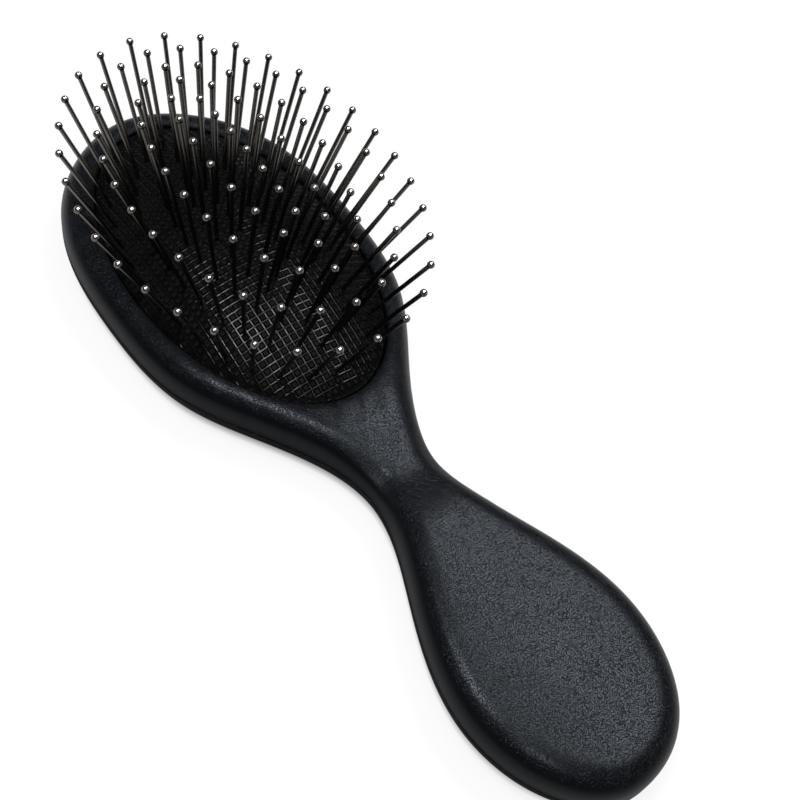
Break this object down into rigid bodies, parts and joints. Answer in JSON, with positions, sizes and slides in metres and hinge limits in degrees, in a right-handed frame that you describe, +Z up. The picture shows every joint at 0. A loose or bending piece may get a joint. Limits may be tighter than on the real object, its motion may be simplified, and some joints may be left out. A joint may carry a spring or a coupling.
{
  "type": "cushion hair brush",
  "caption": "Small cushion hair brush: an oval domed rubber pad of ball-tipped metal pins set in a smooth two-shell moulded body with a narrow neck and a broad flat handle.",
  "frame": {"origin": "middle of the flat back, under the neck", "axes": "+Y from the handle to the toe of the head, +Z up along the pins, +X to the right"},
  "size_m": [0.0606, 0.1666, 0.0389],
  "materials": {
    "shell": "black moulded plastic with a fine leather-like grain on the top face",
    "cushion": "black rubber with a fine waffle pattern",
    "pins": "polished dark-nickel-plated steel wire with bright ball tips"
  },
  "bodies": {
    "body": {"front_shell": "shell", "back_shell": "shell", "cushion_pad": "cushion"},
    "outer_toe_pins": {"pins_outer_toe": "pins"},
    "outer_left_front_pins": {"pins_outer_left_front": "pins"},
    "outer_left_middle_pins": {"pins_outer_left_middle": "pins"},
    "outer_left_rear_pins": {"pins_outer_left_rear": "pins"},
    "outer_heel_pins": {"pins_outer_heel": "pins"},
    "outer_right_rear_pins": {"pins_outer_right_rear": "pins"},
    "outer_right_middle_pins": {"pins_outer_right_middle": "pins"},
    "outer_right_front_pins": {"pins_outer_right_front": "pins"},
    "second_toe_pins": {"pins_second_toe": "pins"},
    "second_left_front_pins": {"pins_second_left_front": "pins"},
    "second_left_rear_pins": {"pins_second_left_rear": "pins"},
    "second_heel_pins": {"pins_second_heel": "pins"},
    "second_right_rear_pins": {"pins_second_right_rear": "pins"},
    "second_right_front_pins": {"pins_second_right_front": "pins"},
    "third_toe_pins": {"pins_third_toe": "pins"},
    "third_left_front_pins": {"pins_third_left_front": "pins"},
    "third_left_rear_pins": {"pins_third_left_rear": "pins"},
    "third_heel_pins": {"pins_third_heel": "pins"},
    "third_right_rear_pins": {"pins_third_right_rear": "pins"},
    "third_right_front_pins": {"pins_third_right_front": "pins"},
    "inner_toe_pins": {"pins_inner_toe": "pins"},
    "inner_left_pins": {"pins_inner_left": "pins"},
    "inner_heel_pins": {"pins_inner_heel": "pins"},
    "inner_right_pins": {"pins_inner_right": "pins"},
    "middle_row_pins": {"pins_middle_row": "pins"}
  },
  "joints": [
    {"name": "sink_outer_toe", "type": "slide", "parent": "body", "child": "outer_toe_pins", "axis": [0, -0.3972, -0.9177], "range_m": [0, 0.003], "stiffness_N_per_m": 1250, "deforming": ["cushion_pad"]},
    {"name": "sink_outer_left_front", "type": "slide", "parent": "body", "child": "outer_left_front_pins", "axis": [0.3551, -0.2656, -0.8963], "range_m": [0, 0.003], "stiffness_N_per_m": 1000, "deforming": ["cushion_pad"]},
    {"name": "sink_outer_left_middle", "type": "slide", "parent": "body", "child": "outer_left_middle_pins", "axis": [0.4599, 0, -0.888], "range_m": [0, 0.003], "stiffness_N_per_m": 750, "deforming": ["cushion_pad"]},
    {"name": "sink_outer_left_rear", "type": "slide", "parent": "body", "child": "outer_left_rear_pins", "axis": [0.3551, 0.2656, -0.8963], "range_m": [0, 0.003], "stiffness_N_per_m": 1000, "deforming": ["cushion_pad"]},
    {"name": "sink_outer_heel", "type": "slide", "parent": "body", "child": "outer_heel_pins", "axis": [0, 0.3972, -0.9177], "range_m": [0, 0.003], "stiffness_N_per_m": 1250, "deforming": ["cushion_pad"]},
    {"name": "sink_outer_right_rear", "type": "slide", "parent": "body", "child": "outer_right_rear_pins", "axis": [-0.3551, 0.2656, -0.8963], "range_m": [0, 0.003], "stiffness_N_per_m": 1000, "deforming": ["cushion_pad"]},
    {"name": "sink_outer_right_middle", "type": "slide", "parent": "body", "child": "outer_right_middle_pins", "axis": [-0.4599, 0, -0.888], "range_m": [0, 0.003], "stiffness_N_per_m": 750, "deforming": ["cushion_pad"]},
    {"name": "sink_outer_right_front", "type": "slide", "parent": "body", "child": "outer_right_front_pins", "axis": [-0.3551, -0.2656, -0.8963], "range_m": [0, 0.003], "stiffness_N_per_m": 1000, "deforming": ["cushion_pad"]},
    {"name": "sink_second_toe", "type": "slide", "parent": "body", "child": "second_toe_pins", "axis": [0, -0.3209, -0.9471], "range_m": [0, 0.003], "stiffness_N_per_m": 1250, "deforming": ["cushion_pad"]},
    {"name": "sink_second_left_front", "type": "slide", "parent": "body", "child": "second_left_front_pins", "axis": [0.3242, -0.143, -0.9351], "range_m": [0, 0.003], "stiffness_N_per_m": 1250, "deforming": ["cushion_pad"]},
    {"name": "sink_second_left_rear", "type": "slide", "parent": "body", "child": "second_left_rear_pins", "axis": [0.3112, 0.1784, -0.9335], "range_m": [0, 0.003], "stiffness_N_per_m": 1000, "deforming": ["cushion_pad"]},
    {"name": "sink_second_heel", "type": "slide", "parent": "body", "child": "second_heel_pins", "axis": [0, 0.3209, -0.9471], "range_m": [0, 0.003], "stiffness_N_per_m": 1250, "deforming": ["cushion_pad"]},
    {"name": "sink_second_right_rear", "type": "slide", "parent": "body", "child": "second_right_rear_pins", "axis": [-0.3112, 0.1784, -0.9335], "range_m": [0, 0.003], "stiffness_N_per_m": 1000, "deforming": ["cushion_pad"]},
    {"name": "sink_second_right_front", "type": "slide", "parent": "body", "child": "second_right_front_pins", "axis": [-0.3242, -0.143, -0.9351], "range_m": [0, 0.003], "stiffness_N_per_m": 1250, "deforming": ["cushion_pad"]},
    {"name": "sink_third_toe", "type": "slide", "parent": "body", "child": "third_toe_pins", "axis": [0, -0.2511, -0.968], "range_m": [0, 0.003], "stiffness_N_per_m": 750, "deforming": ["cushion_pad"]},
    {"name": "sink_third_left_front", "type": "slide", "parent": "body", "child": "third_left_front_pins", "axis": [0.1806, -0.126, -0.9754], "range_m": [0, 0.003], "stiffness_N_per_m": 1000, "deforming": ["cushion_pad"]},
    {"name": "sink_third_left_rear", "type": "slide", "parent": "body", "child": "third_left_rear_pins", "axis": [0.1806, 0.126, -0.9754], "range_m": [0, 0.003], "stiffness_N_per_m": 1000, "deforming": ["cushion_pad"]},
    {"name": "sink_third_heel", "type": "slide", "parent": "body", "child": "third_heel_pins", "axis": [0, 0.2511, -0.968], "range_m": [0, 0.003], "stiffness_N_per_m": 750, "deforming": ["cushion_pad"]},
    {"name": "sink_third_right_rear", "type": "slide", "parent": "body", "child": "third_right_rear_pins", "axis": [-0.1806, 0.126, -0.9754], "range_m": [0, 0.003], "stiffness_N_per_m": 1000, "deforming": ["cushion_pad"]},
    {"name": "sink_third_right_front", "type": "slide", "parent": "body", "child": "third_right_front_pins", "axis": [-0.1806, -0.126, -0.9754], "range_m": [0, 0.003], "stiffness_N_per_m": 1000, "deforming": ["cushion_pad"]},
    {"name": "sink_inner_toe", "type": "slide", "parent": "body", "child": "inner_toe_pins", "axis": [0, -0.2241, -0.9746], "range_m": [0, 0.003], "stiffness_N_per_m": 750, "deforming": ["cushion_pad"]},
    {"name": "sink_inner_left", "type": "slide", "parent": "body", "child": "inner_left_pins", "axis": [0.1021, 0, -0.9948], "range_m": [0, 0.003], "stiffness_N_per_m": 1250, "deforming": ["cushion_pad"]},
    {"name": "sink_inner_heel", "type": "slide", "parent": "body", "child": "inner_heel_pins", "axis": [0, 0.2241, -0.9746], "range_m": [0, 0.003], "stiffness_N_per_m": 750, "deforming": ["cushion_pad"]},
    {"name": "sink_inner_right", "type": "slide", "parent": "body", "child": "inner_right_pins", "axis": [-0.1021, 0, -0.9948], "range_m": [0, 0.003], "stiffness_N_per_m": 1250, "deforming": ["cushion_pad"]},
    {"name": "sink_middle_row", "type": "slide", "parent": "body", "child": "middle_row_pins", "axis": [0, 0, -1], "range_m": [0, 0.003], "stiffness_N_per_m": 1750, "deforming": ["cushion_pad"]}
  ]
}
